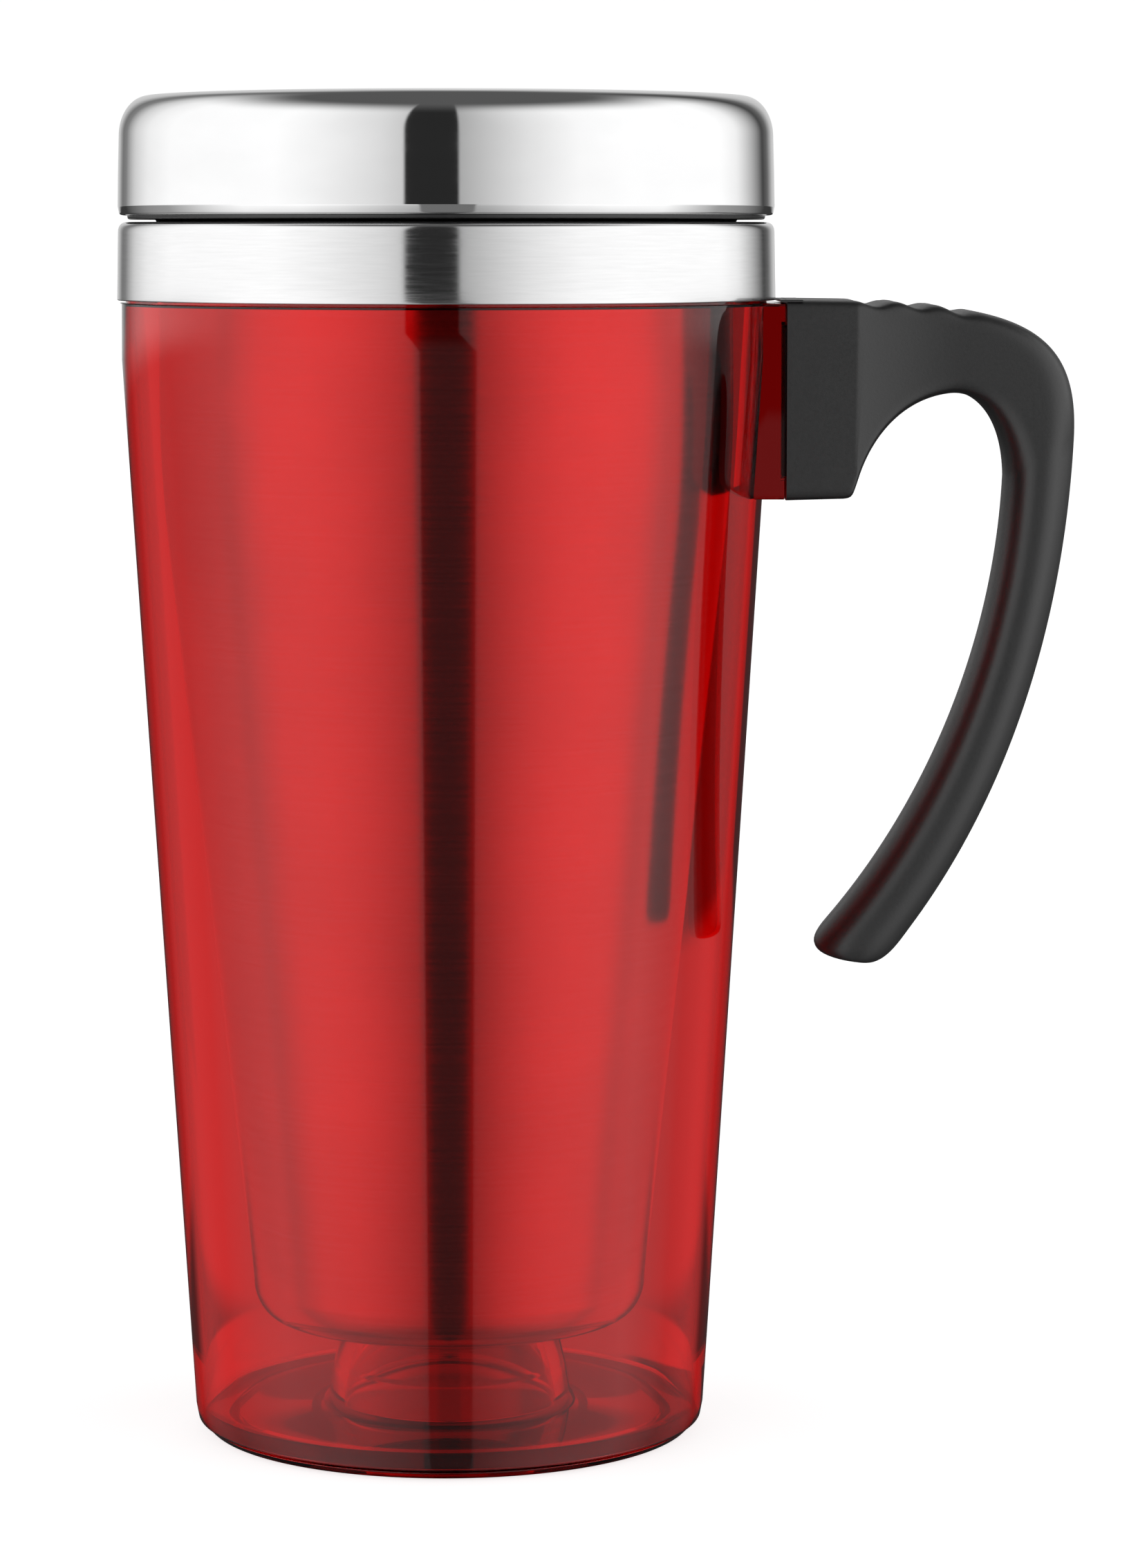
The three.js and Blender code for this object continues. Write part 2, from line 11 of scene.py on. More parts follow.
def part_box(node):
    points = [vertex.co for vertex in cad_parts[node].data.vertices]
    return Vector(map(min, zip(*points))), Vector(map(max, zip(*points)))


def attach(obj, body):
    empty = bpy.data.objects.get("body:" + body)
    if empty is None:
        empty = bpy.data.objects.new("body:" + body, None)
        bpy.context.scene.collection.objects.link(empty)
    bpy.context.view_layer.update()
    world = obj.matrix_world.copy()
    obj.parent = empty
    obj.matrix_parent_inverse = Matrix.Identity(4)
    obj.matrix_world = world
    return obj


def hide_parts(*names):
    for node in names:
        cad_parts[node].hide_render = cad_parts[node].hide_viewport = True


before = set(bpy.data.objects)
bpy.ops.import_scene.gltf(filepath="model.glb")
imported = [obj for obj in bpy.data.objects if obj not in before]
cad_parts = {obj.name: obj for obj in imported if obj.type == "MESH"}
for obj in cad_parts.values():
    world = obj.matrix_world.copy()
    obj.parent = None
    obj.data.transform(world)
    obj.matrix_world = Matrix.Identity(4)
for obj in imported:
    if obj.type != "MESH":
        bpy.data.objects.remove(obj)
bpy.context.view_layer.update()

MM = 0.001
TURN_STEPS = 192
ARC_STEPS = 6
CREASE = math.radians(34)

# Places taken from the frame, in millimetres.
SHELL_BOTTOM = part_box("outer_shell")[0].z / MM
SOCKET_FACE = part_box("outer_shell")[1].x / MM
NECK_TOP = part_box("outer_shell")[1].z / MM
NECK_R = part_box("liner_seal")[1].x / MM
LINER_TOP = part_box("inner_liner")[1].z / MM
RIM_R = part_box("inner_liner")[1].x / MM
COLLAR_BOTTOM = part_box("steel_collar")[0].z / MM
COLLAR_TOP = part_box("steel_collar")[1].z / MM
COLLAR_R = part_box("steel_collar")[1].x / MM
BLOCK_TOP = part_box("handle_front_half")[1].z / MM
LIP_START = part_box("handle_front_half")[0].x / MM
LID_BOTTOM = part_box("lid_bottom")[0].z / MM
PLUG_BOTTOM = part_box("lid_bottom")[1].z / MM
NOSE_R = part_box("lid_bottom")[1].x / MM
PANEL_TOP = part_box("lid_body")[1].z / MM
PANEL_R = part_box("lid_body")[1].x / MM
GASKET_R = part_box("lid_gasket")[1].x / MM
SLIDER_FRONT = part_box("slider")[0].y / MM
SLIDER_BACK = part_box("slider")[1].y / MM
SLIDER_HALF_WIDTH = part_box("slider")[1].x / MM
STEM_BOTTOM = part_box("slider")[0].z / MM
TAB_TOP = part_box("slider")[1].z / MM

# Heights and radii that more than one piece follows.
SHELL_TOP = 147.6
PLUG_R = 37.4


# ------------------------------------------------------------------ mesh helpers
def rounded(corners, steps=ARC_STEPS):
    """Turns corners (a, b, radius) into an outline, each corner rounded by about its radius."""
    outline = []
    count = len(corners)
    for i, (a, b, radius) in enumerate(corners):
        here = Vector((a, b))
        before = Vector(corners[i - 1][:2]) - here
        after = Vector(corners[(i + 1) % count][:2]) - here
        if radius <= 0:
            outline.append(here)
            continue
        half = before.angle(after) / 2
        reach = min(radius / math.tan(half), 0.49 * before.length, 0.49 * after.length)
        start = here + before.normalized() * reach
        end = here + after.normalized() * reach
        for k in range(steps + 1):
            t = k / steps
            outline.append((1 - t) ** 2 * start + 2 * t * (1 - t) * here + t * t * end)
    return outline


def ellipse_arc(r, z, radius_r, radius_z, start, end, steps):
    """Points of an arc about the place (r, z), from one angle to another, in degrees."""
    points = []
    for i in range(steps + 1):
        angle = math.radians(start + (end - start) * i / steps)
        points.append(Vector((r + radius_r * math.cos(angle), z + radius_z * math.sin(angle))))
    return points


def new_object(name, bm):
    bmesh.ops.recalc_face_normals(bm, faces=bm.faces)
    mesh = bpy.data.meshes.new(name)
    bm.to_mesh(mesh)
    bm.free()
    for polygon in mesh.polygons:
        polygon.use_smooth = True
    mesh.set_sharp_from_angle(angle=CREASE)
    piece = bpy.data.objects.new(name, mesh)
    bpy.context.scene.collection.objects.link(piece)
    return piece


def turned(name, outline, steps=TURN_STEPS):
    """A closed outline (r, z) turned about the Z axis. Points on the axis become poles."""
    on_axis = 1e-6
    bm = bmesh.new()
    rings = []
    for r, z in outline:
        if r < on_axis:
            rings.append([bm.verts.new((0, 0, z * MM))] * steps)
            continue
        ring = []
        for i in range(steps):
            angle = 2 * math.pi * i / steps
            ring.append(bm.verts.new((r * MM * math.cos(angle), r * MM * math.sin(angle), z * MM)))
        rings.append(ring)
    for low, high in zip(rings, rings[1:] + rings[:1]):
        if low[0] is low[1] and high[0] is high[1]:
            continue
        for i in range(steps):
            j = (i + 1) % steps
            corners = [low[i], low[j], high[j], high[i]]
            bm.faces.new(list(dict.fromkeys(corners)))
    return new_object(name, bm)


def extruded(name, near, far):
    """A closed solid between two outlines of as many points, given as places in millimetres."""
    bm = bmesh.new()
    low = [bm.verts.new([c * MM for c in point]) for point in near]
    high = [bm.verts.new([c * MM for c in point]) for point in far]
    bm.faces.new(low)
    bm.faces.new(high)
    for i in range(len(low)):
        j = (i + 1) % len(low)
        bm.faces.new([low[i], low[j], high[j], high[i]])
    return new_object(name, bm)


def prism(name, outline, bottom, top):
    """A closed outline (x, y) standing from bottom to top."""
    return extruded(name, [(x, y, bottom) for x, y in outline], [(x, y, top) for x, y in outline])


def box_along_x(name, outline, start, end):
    """A closed outline (y, z) running along X from start to end."""
    return extruded(name, [(start, y, z) for y, z in outline], [(end, y, z) for y, z in outline])


def rectangle(left, right, bottom, top, radius):
    """The outline of a rectangle, its corners rounded by the same radius."""
    return rounded([(left, bottom, radius), (right, bottom, radius),
                    (right, top, radius), (left, top, radius)])


def rounded_rectangle(size_x, size_y, radius, x=0.0, y=0.0):
    """A rounded rectangle about the place (x, y), smoother at its corners than rectangle()."""
    half_x, half_y = size_x / 2, size_y / 2
    corners = [(-half_x, -half_y), (half_x, -half_y), (half_x, half_y), (-half_x, half_y)]
    return [point + Vector((x, y)) for point in rounded([(a, b, radius) for a, b in corners], 8)]


def disc(name, radius, bottom, top, x=0.0, y=0.0, steps=48):
    outline = [Vector((x + radius * math.cos(2 * math.pi * i / steps),
                       y + radius * math.sin(2 * math.pi * i / steps))) for i in range(steps)]
    return prism(name, outline, bottom, top)


def ring_section(bore_r, outer_r, bottom, top, radius):
    """The section of a flat ring."""
    return rounded([(bore_r, bottom, radius), (outer_r, bottom, radius),
                    (outer_r, top, radius), (bore_r, top, radius)], 3)


def spaced(start, end, steps):
    """Points between two places on an outline, so that a long wall has several rings."""
    a, b = Vector(start), Vector(end)
    return [a.lerp(b, i / steps) for i in range(1, steps)]


def apply_modifiers(piece):
    depsgraph = bpy.context.evaluated_depsgraph_get()
    mesh = bpy.data.meshes.new_from_object(piece.evaluated_get(depsgraph))
    piece.modifiers.clear()
    piece.data = mesh
    for polygon in mesh.polygons:
        polygon.use_smooth = True
    mesh.set_sharp_from_angle(angle=CREASE)


def combine(piece, tool, operation):
    """Joins a tool to a piece or cuts it away, and removes the tool."""
    boolean = piece.modifiers.new("cut", "BOOLEAN")
    boolean.operation = operation
    boolean.object = tool
    boolean.solver = "EXACT"
    bpy.context.view_layer.update()
    apply_modifiers(piece)
    bpy.data.objects.remove(tool)
    return piece


def soften(piece, width):
    """Rounds the sharp edges of a finished piece."""
    bevel = piece.modifiers.new("edge", "BEVEL")
    bevel.width = width * MM
    bevel.segments = 3
    bevel.limit_method = "ANGLE"
    bevel.angle_limit = math.radians(40)
    bevel.use_clamp_overlap = True
    bpy.context.view_layer.update()
    apply_modifiers(piece)
    return piece


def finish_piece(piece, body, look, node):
    """Gives a piece its look and its body, and hides the CAD node that it stands for."""
    piece.data.materials.clear()
    piece.data.materials.append(look)
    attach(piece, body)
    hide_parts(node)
    return piece


# ------------------------------------------------------------------ material helpers
class Look:
    """A material's node tree, with short calls for the nodes that the looks share."""

    def __init__(self, name):
        self.material = bpy.data.materials.new(name)
        self.material.use_nodes = True
        self.tree = self.material.node_tree
        self.shader = self.tree.nodes["Principled BSDF"]
        self.output = self.tree.nodes["Material Output"]
        self.place = self.add("ShaderNodeTexCoord").outputs["Object"]

    def add(self, kind, **settings):
        node = self.tree.nodes.new(kind)
        for key, value in settings.items():
            setattr(node, key, value)
        return node

    def link(self, source, target):
        self.tree.links.new(source, target)

    def set(self, **values):
        for key, value in values.items():
            self.shader.inputs[key.replace("_", " ")].default_value = value

    def scaled(self, stretch):
        node = self.add("ShaderNodeMapping")
        node.inputs["Scale"].default_value = stretch
        self.link(self.place, node.inputs["Vector"])
        return node.outputs["Vector"]

    def noise(self, scale, detail, vector=None, roughness=0.5):
        node = self.add("ShaderNodeTexNoise")
        node.inputs["Scale"].default_value = scale
        node.inputs["Detail"].default_value = detail
        node.inputs["Roughness"].default_value = roughness
        self.link(vector or self.place, node.inputs["Vector"])
        return node.outputs["Fac"]

    def spread(self, value, low, high, from_low=0.3, from_high=0.7):
        """Maps a value from one range to another, and holds it inside."""
        node = self.add("ShaderNodeMapRange")
        node.inputs["From Min"].default_value = from_low
        node.inputs["From Max"].default_value = from_high
        node.inputs["To Min"].default_value = low
        node.inputs["To Max"].default_value = high
        self.link(value, node.inputs["Value"])
        return node.outputs["Result"]

    def tint(self, value, first, second):
        """Blends the base colour from the first to the second as the value goes from 0 to 1."""
        node = self.add("ShaderNodeMix", data_type="RGBA")
        node.inputs["A"].default_value = (*first, 1)
        node.inputs["B"].default_value = (*second, 1)
        self.link(value, node.inputs["Factor"])
        self.link(node.outputs["Result"], self.shader.inputs["Base Color"])

    def total(self, first, second, weight):
        """The first value plus the second one times its weight."""
        node = self.add("ShaderNodeMath", operation="MULTIPLY_ADD")
        node.inputs[1].default_value = weight
        self.link(second, node.inputs[0])
        self.link(first, node.inputs[2])
        return node.outputs["Value"]

    def rough(self, value):
        self.link(value, self.shader.inputs["Roughness"])

    def bump(self, height, distance, strength):
        node = self.add("ShaderNodeBump")
        node.inputs["Distance"].default_value = distance
        node.inputs["Strength"].default_value = strength
        self.link(height, node.inputs["Height"])
        self.link(node.outputs["Normal"], self.shader.inputs["Normal"])


METAL_IOR = 1.5
PLASTIC_IOR = 1.5
SILICONE_IOR = 1.43


def polished_steel():
    look = Look("polished_steel")
    look.set(Metallic=1.0, IOR=METAL_IOR)
    wear = look.noise(scale=55, detail=4, vector=look.scaled((1, 1, 2.5)))
    scratches = look.noise(scale=900, detail=2, vector=look.scaled((0.05, 0.05, 1.6)))
    worn = look.total(wear, scratches, weight=0.5)
    look.tint(look.spread(wear, 0, 1), (0.87, 0.87, 0.872), (0.92, 0.92, 0.922))
    look.rough(look.spread(worn, 0.03, 0.075, from_low=0.45, from_high=1.05))
    look.bump(look.noise(scale=38, detail=2), distance=0.00002, strength=0.25)
    return look.material


def satin_steel():
    """Steel brushed in fine lines, a little off the level."""
    look = Look("satin_steel")
    look.set(Metallic=1.0, IOR=METAL_IOR)
    slanted = look.add("ShaderNodeMapping")
    slanted.inputs["Rotation"].default_value = (0, math.radians(14), 0)
    slanted.inputs["Scale"].default_value = (0.1, 0.1, 1.8)
    look.link(look.place, slanted.inputs["Vector"])
    brushing = look.noise(scale=1700, detail=3, vector=slanted.outputs["Vector"], roughness=0.6)
    clouded = look.total(brushing, look.noise(scale=60, detail=3), weight=0.6)
    look.tint(look.spread(brushing, 0, 1), (0.85, 0.85, 0.852), (0.9, 0.9, 0.902))
    look.rough(look.spread(clouded, 0.07, 0.12, from_low=0.6, from_high=1.0))
    look.bump(brushing, distance=0.000006, strength=0.2)
    return look.material


def drawn_steel():
    """Duller steel with faint level rings from the drawing of the cup."""
    look = Look("drawn_steel")
    look.set(Metallic=1.0, IOR=METAL_IOR)
    rings = look.noise(scale=2200, detail=2, vector=look.scaled((0.02, 0.02, 1.0)), roughness=0.6)
    cloud = look.noise(scale=40, detail=3)
    look.tint(look.spread(cloud, 0, 1), (0.66, 0.66, 0.665), (0.76, 0.76, 0.765))
    look.rough(look.spread(look.total(rings, cloud, weight=0.4), 0.13, 0.18, from_low=0.5, from_high=0.9))
    look.bump(rings, distance=0.000004, strength=0.2)
    return look.material


def red_plastic():
    """Clear plastic with a red dye, so that thick places are darker than thin ones."""
    look = Look("red_plastic")
    look.set(Transmission_Weight=1.0, IOR=PLASTIC_IOR, Base_Color=(1, 1, 1, 1))
    flow = look.noise(scale=26, detail=2, vector=look.scaled((1, 1, 0.35)))
    hazy = look.total(flow, look.noise(scale=240, detail=4), weight=0.5)
    look.rough(look.spread(hazy, 0.0, 0.03, from_low=0.5, from_high=1.0))
    look.bump(flow, distance=0.00001, strength=0.05)
    dye = look.add("ShaderNodeVolumeAbsorption")
    dye.inputs["Color"].default_value = (0.9775, 0.0, 0.0, 1)
    dye.inputs["Density"].default_value = 2300.0
    look.link(dye.outputs["Volume"], look.output.inputs["Volume"])
    return look.material


def black_plastic(name, shade, grain_scale, grain_depth, rough_low, rough_high):
    """Moulded plastic with a fine grain, in a shade that the grain makes a little darker or lighter."""
    look = Look(name)
    look.set(IOR=PLASTIC_IOR, Specular_IOR_Level=0.9)
    grain = look.noise(grain_scale, detail=4, roughness=0.6)
    cloud = look.noise(scale=45, detail=3)
    dark = tuple(0.75 * c for c in shade)
    light = tuple(1.3 * c for c in shade)
    coloured = look.total(grain, cloud, weight=0.6)
    worn = look.total(grain, cloud, weight=0.5)
    look.tint(look.spread(coloured, 0, 1, from_low=0.5, from_high=1.1), dark, light)
    look.rough(look.spread(worn, rough_low, rough_high, from_low=0.5, from_high=1.0))
    look.bump(grain, grain_depth, strength=0.5)
    return look.material


def silicone():
    look = Look("silicone")
    look.set(IOR=SILICONE_IOR, Subsurface_Weight=0.15, Subsurface_Radius=(0.002, 0.002, 0.002))
    cloud = look.noise(scale=90, detail=4)
    look.tint(look.spread(cloud, 0, 1), (0.30, 0.31, 0.32), (0.42, 0.43, 0.44))
    look.rough(look.spread(cloud, 0.45, 0.65))
    look.bump(look.noise(scale=900, detail=3), distance=0.00003, strength=0.4)
    return look.material


def foam():
    look = Look("foam")
    beads = look.add("ShaderNodeTexVoronoi")
    beads.inputs["Scale"].default_value = 420
    look.link(look.place, beads.inputs["Vector"])
    look.tint(beads.outputs["Distance"], (0.88, 0.87, 0.83), (0.70, 0.69, 0.65))
    look.set(Roughness=0.9)
    look.bump(beads.outputs["Distance"], distance=0.0004, strength=0.6)
    return look.material


STEEL_POLISHED = polished_steel()
STEEL_SATIN = satin_steel()
STEEL_DRAWN = drawn_steel()
RED = red_plastic()
BLACK = black_plastic("black_plastic", (0.008, 0.008, 0.0082), grain_scale=2600, grain_depth=0.00004,
                      rough_low=0.38, rough_high=0.48)
LID_BLACK = black_plastic("lid_plastic", (0.009, 0.009, 0.0095), grain_scale=1500, grain_depth=0.00003,
                          rough_low=0.25, rough_high=0.36)
SILICONE = silicone()
FOAM = foam()

# ------------------------------------------------------------------ mug body
SHELL_WALL = 1.5
SHELL_TAPER = 2.3
SHELL_BOTTOM_R = 33.46
SHELL_TOP_R = 42.42
SHELL_SLOPE = (SHELL_TOP_R - SHELL_BOTTOM_R) / (SHELL_TOP - SHELL_TAPER)
SHELL_RINGS = 20
BORE_TOP = 147.2
NECK_BORE_R = 40.45
SOCKET_BOTTOM = 122.6
SOCKET_HALF_WIDTH = 11.0
SOCKET_WALL = 2.4
SOCKET_RECESS = 0.4
SOCKET_CORNER = 0.8


def shell_radius(z):
    return SHELL_BOTTOM_R + (z - SHELL_TAPER) * SHELL_SLOPE


def socket_block():
    """The block that the handle plugs into, cut to the shape of the shell's bore."""
    deepest = 37.0
    block = box_along_x("boss", rectangle(-SOCKET_HALF_WIDTH, SOCKET_HALF_WIDTH, SOCKET_BOTTOM, SHELL_TOP,
                                          SOCKET_CORNER), deepest, SOCKET_FACE)
    below, above = SOCKET_BOTTOM - 20, SHELL_TOP + 3
    low_r = shell_radius(below) - SHELL_WALL
    high_r = shell_radius(SHELL_TOP) - SHELL_WALL
    bore = turned("bore", [Vector((0, below)), Vector((low_r, below)), Vector((high_r, SHELL_TOP)),
                           Vector((high_r, above)), Vector((0, above))])
    return combine(block, bore, "DIFFERENCE")


def socket_seat():
    """The shallow hollow in the block's face."""
    reach = SOCKET_HALF_WIDTH - SOCKET_WALL
    outline = rectangle(-reach, reach, SOCKET_BOTTOM + SOCKET_WALL, SHELL_TOP - SOCKET_WALL, SOCKET_CORNER)
    return box_along_x("seat", outline, SOCKET_FACE - SOCKET_RECESS, SOCKET_FACE + 5)


def outer_shell():
    """The clear red cone with its block for the handle and a neck that the collar covers."""
    wall_foot = (SHELL_BOTTOM_R + 0.05, SHELL_TAPER + 0.9)
    wall_end = (SHELL_TOP_R, SHELL_TOP)
    bore_end = (shell_radius(BORE_TOP) - SHELL_WALL, BORE_TOP)
    bore_foot = (SHELL_BOTTOM_R - SHELL_WALL, SHELL_TAPER + 2)
    outline = rounded([(bore_foot[0], SHELL_BOTTOM, 0.15), (SHELL_BOTTOM_R - 0.3, SHELL_BOTTOM, 0.3),
                       (*wall_foot, 0)])
    outline += spaced(wall_foot, wall_end, SHELL_RINGS)
    outline += rounded([(*wall_end, 0.15), (NECK_R, SHELL_TOP, 0), (NECK_R, NECK_TOP, 0.1),
                        (NECK_BORE_R, NECK_TOP, 0.1), (NECK_BORE_R, SHELL_TOP, 0), (*bore_end, 0)], 4)
    outline += spaced(bore_end, bore_foot, SHELL_RINGS)
    outline += [Vector(bore_foot)]
    shell = turned("outer_shell_clear", outline)
    combine(shell, socket_block(), "UNION")
    combine(shell, socket_seat(), "DIFFERENCE")
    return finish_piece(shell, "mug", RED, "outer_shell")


def base_plate():
    """The clear foot: a groove underneath, a rim below the shell and a hollow pedestal for the cushion."""
    hub_r, ring_r, foot_r = 17, 28.5, 31.6
    groove, groove_slope = 1.3, 1
    rim_r, rim = 32.65, 1.05
    plug_r, plate_top = 31.7, 3.6
    waist, pedestal_top = 8.2, 13
    hollow_bottom = 3.4
    underside = [(0, 0, 0), (hub_r, 0, 0.3), (hub_r + groove_slope, groove, 0.3),
                 (ring_r - groove_slope, groove, 0.3), (ring_r, 0, 0.4), (foot_r, 0, 0.9)]
    edge = [(rim_r, rim, 0.15), (plug_r, rim, 0), (plug_r, plate_top, 0.25)]
    pedestal = [(16.4, plate_top, 0.5), (15.9, 4.4, 0.3), (15.3, waist, 3.0), (14.1, pedestal_top, 0.3)]
    hollow = [(12.1, pedestal_top, 0.3), (13.2, waist, 2.0), (14.1, hollow_bottom, 0.5),
              (0, hollow_bottom, 0)]
    plate = turned("base_plate_clear", rounded(underside + edge + pedestal + hollow))
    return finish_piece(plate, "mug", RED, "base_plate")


def base_cushion():
    section = ring_section(bore_r=9.6, outer_r=14.1, bottom=13.3, top=14.55, radius=0.3)
    ring = turned("base_cushion_ring", section, 96)
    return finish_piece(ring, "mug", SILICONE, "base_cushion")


def inner_liner():
    """The steel cup: a rounded heel, a wall that bends a little on its way up, a wider neck and a rim."""
    sheet = 0.7
    heel_r, heel_z = 22, 20
    heel_width, heel_height, heel_steps = 3.8, 5.15, 14
    wall_foot_r, wall_r, bend_z, bend = 25.8, 37.2, 126, 200
    wall_top, neck_r, neck_bottom = 147.6, 40.08, 149.7
    step_rise = 0.4
    heel_out = ellipse_arc(heel_r, heel_z, heel_width, heel_height, -90, 0, heel_steps)
    heel_in = ellipse_arc(heel_r, heel_z, heel_width - sheet, heel_height - sheet, 0, -90, heel_steps)
    outside = rounded([(wall_foot_r, heel_z, 0), (wall_r, bend_z, bend), (wall_r, wall_top, 1.0),
                       (neck_r, neck_bottom, 0.6), (neck_r, LINER_TOP - sheet, 0.1),
                       (RIM_R, LINER_TOP - sheet, 0.2), (RIM_R, LINER_TOP, 0.2)], 12)[1:]
    inside = rounded([(neck_r - sheet, LINER_TOP, 0.5), (neck_r - sheet, neck_bottom + step_rise, 0.6),
                      (wall_r - sheet, wall_top + step_rise, 1.0), (wall_r - sheet, bend_z, bend),
                      (wall_foot_r - sheet, heel_z, 0)], 12)[:-1]
    bottom = [Vector((0, heel_z - heel_height))]
    cup_floor = [Vector((0, heel_z - heel_height + sheet))]
    liner = turned("inner_liner_steel", bottom + heel_out + outside + inside + heel_in + cup_floor)
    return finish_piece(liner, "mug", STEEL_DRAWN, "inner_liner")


def liner_seal():
    section = ring_section(NECK_BORE_R, NECK_R, bottom=155.1, top=155.8, radius=0.2)
    ring = turned("liner_seal_ring", section, 128)
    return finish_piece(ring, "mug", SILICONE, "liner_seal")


def steel_collar():
    """The steel band about the shell's neck, which turns in over the liner's rim."""
    sheet = 0.75
    top_r, lip_r = 42.28, 39.45
    outline = rounded([
        (COLLAR_R, COLLAR_BOTTOM, 0.15), (42.4, 153, 0), (top_r, COLLAR_TOP, 1.3), (lip_r, COLLAR_TOP, 0.3),
        (lip_r, COLLAR_TOP - sheet, 0.2), (top_r - sheet, COLLAR_TOP - sheet, 0.5),
        (COLLAR_R - sheet, COLLAR_BOTTOM, 0.1),
    ], 8)
    collar = turned("steel_collar_band", outline)
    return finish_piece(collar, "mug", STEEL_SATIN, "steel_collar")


outer_shell()
base_plate()
base_cushion()
inner_liner()
liner_seal()
steel_collar()

# ------------------------------------------------------------------ handle
HANDLE_FACE = 43.6
BLOCK_BOTTOM = 122.4
BLOCK_HALF_WIDTH = 11.0
ARM_HALF_WIDTH = 8.5
NARROW_FROM, NARROW_TO = 52.6, 66.0
SEAM = 0.06
SIDE_STEPS = 56
TENON_CLEAR = 0.4
LIP_TOP = BLOCK_TOP - 0.05
LIP_BOTTOM = BLOCK_TOP - 0.35


def cubic(*points):
    a, b, c, d = (Vector(p) for p in points)

    def curve(t):
        s = 1 - t
        return s ** 3 * a + 3 * s * s * t * b + 3 * s * t * t * c + t ** 3 * d
    return curve


def straight(a, b):
    return lambda t: Vector(a).lerp(Vector(b), t)


def web_width(x):
    """Half the width of the block and the web, which narrows from the block's to the arm's."""
    t = min(max((x - NARROW_FROM) / (NARROW_TO - NARROW_FROM), 0), 1)
    return ARM_HALF_WIDTH + (BLOCK_HALF_WIDTH - ARM_HALF_WIDTH) * (1 - t) ** 2


def arm_width(_):
    return ARM_HALF_WIDTH


BLOCK_SQUARE = (16, 16)
WEB_SQUARE = (7, 7)
ARM_SQUARE = (2.6, 2.3)

# Each span: inner edge, outer edge, steps, half width at an X, how boxy its inner and outer side become.
SPANS = [
    (straight((HANDLE_FACE, BLOCK_BOTTOM), (50.9, 122.6)), straight((HANDLE_FACE, BLOCK_TOP), (50.9, 148)),
     16, web_width, BLOCK_SQUARE),
    (cubic((50.9, 122.6), (52.2, 122.7), (52.1, 123), (52.76, 124.9)), straight((50.9, 148), (55, 147.9)),
     16, web_width, BLOCK_SQUARE),
    (cubic((52.76, 124.9), (54.5, 130.6), (58.7, 135.4), (64.9, 136)),
     cubic((55, 147.9), (59.5, 147.8), (63.5, 147.4), (67.5, 146.6)), 48, web_width, WEB_SQUARE),
    (cubic((64.9, 136), (68.3, 136.3), (72.2, 133.2), (72.2, 125.2)),
     cubic((67.5, 146.6), (77.8, 144.7), (81.4, 140), (81.2, 130)), 36, arm_width, ARM_SQUARE),
    (cubic((72.2, 125.2), (71.3, 103.3), (62.6, 82.2), (49.5, 66.8)),
     cubic((81.2, 130), (80.2, 107.6), (73.9, 84.6), (60.5, 66.3)), 48, arm_width, ARM_SQUARE),
]
TIP_INNER = cubic((49.5, 66.8), (47.1, 64), (47.5, 62.9), (50.9, 62.6))
TIP_OUTER = cubic((60.5, 66.3), (59.2, 64.5), (57.6, 62), (55.6, 61.9))
TIP_STEPS = 20
TIP_ROUND = 2.5

# The thumb grooves across the top of the handle, which bow a little and fade towards its sides.
GRIP_PITCH = 5.5
GRIP_START = 52.7
GRIP_COUNT = 3
GRIP_LEVEL = 138.0
GRIP_DEPTH = 0.6
GRIP_BOW = 2.2
GRIP_FADE = 4


def handle_stations():
    stations = []
    square = Vector(BLOCK_SQUARE)
    for inner, outer, steps, width, next_square in SPANS:
        for i in range(1 if stations else 0, steps + 1):
            t = i / steps
            stations.append((inner(t), outer(t), width, square.lerp(Vector(next_square), t)))
        square = Vector(next_square)
    for i in range(1, TIP_STEPS + 1):
        t = math.sin(math.pi / 2 * i / TIP_STEPS)
        half_width = ARM_HALF_WIDTH - TIP_ROUND * (1 - math.sqrt(1 - t * t))
        stations.append((TIP_INNER(t), TIP_OUTER(t), lambda _, width=half_width: width, square))
    return stations


def grip_dip(x, side):
    """How far the thumb grooves sink the top of the handle, side being 0 at its middle and 1 at its edge."""
    along = x + GRIP_BOW * (1 - side * side) - GRIP_START
    if not 0 < along < GRIP_COUNT * GRIP_PITCH:
        return 0.0
    return GRIP_DEPTH * math.sin(math.pi * along / GRIP_PITCH) ** 2


def half_section(station, side):
    """Half a superellipse from the outer edge, round the side, to the inner edge, in metres."""
    inner, outer, width, square = station
    middle = (inner + outer) / 2
    reach = (outer - inner) / 2
    along = reach.normalized()
    ring = []
    for i in range(SIDE_STEPS + 1):
        angle = math.pi * i / SIDE_STEPS
        cosine, sine = math.cos(angle), max(math.sin(angle), 0)
        power = 2 / square[0 if cosine < 0 else 1]
        u = reach.length * math.copysign(abs(cosine) ** power, cosine)
        x = middle.x + along.x * u
        z = middle.y + along.y * u
        half_width = width(x)
        v = SEAM + (half_width - SEAM) * sine ** power
        if u > 0 and z > GRIP_LEVEL:
            z -= grip_dip(x, v / half_width) * (u / reach.length) ** GRIP_FADE
        ring.append(Vector((x, side * v, z)) * MM)
    return ring


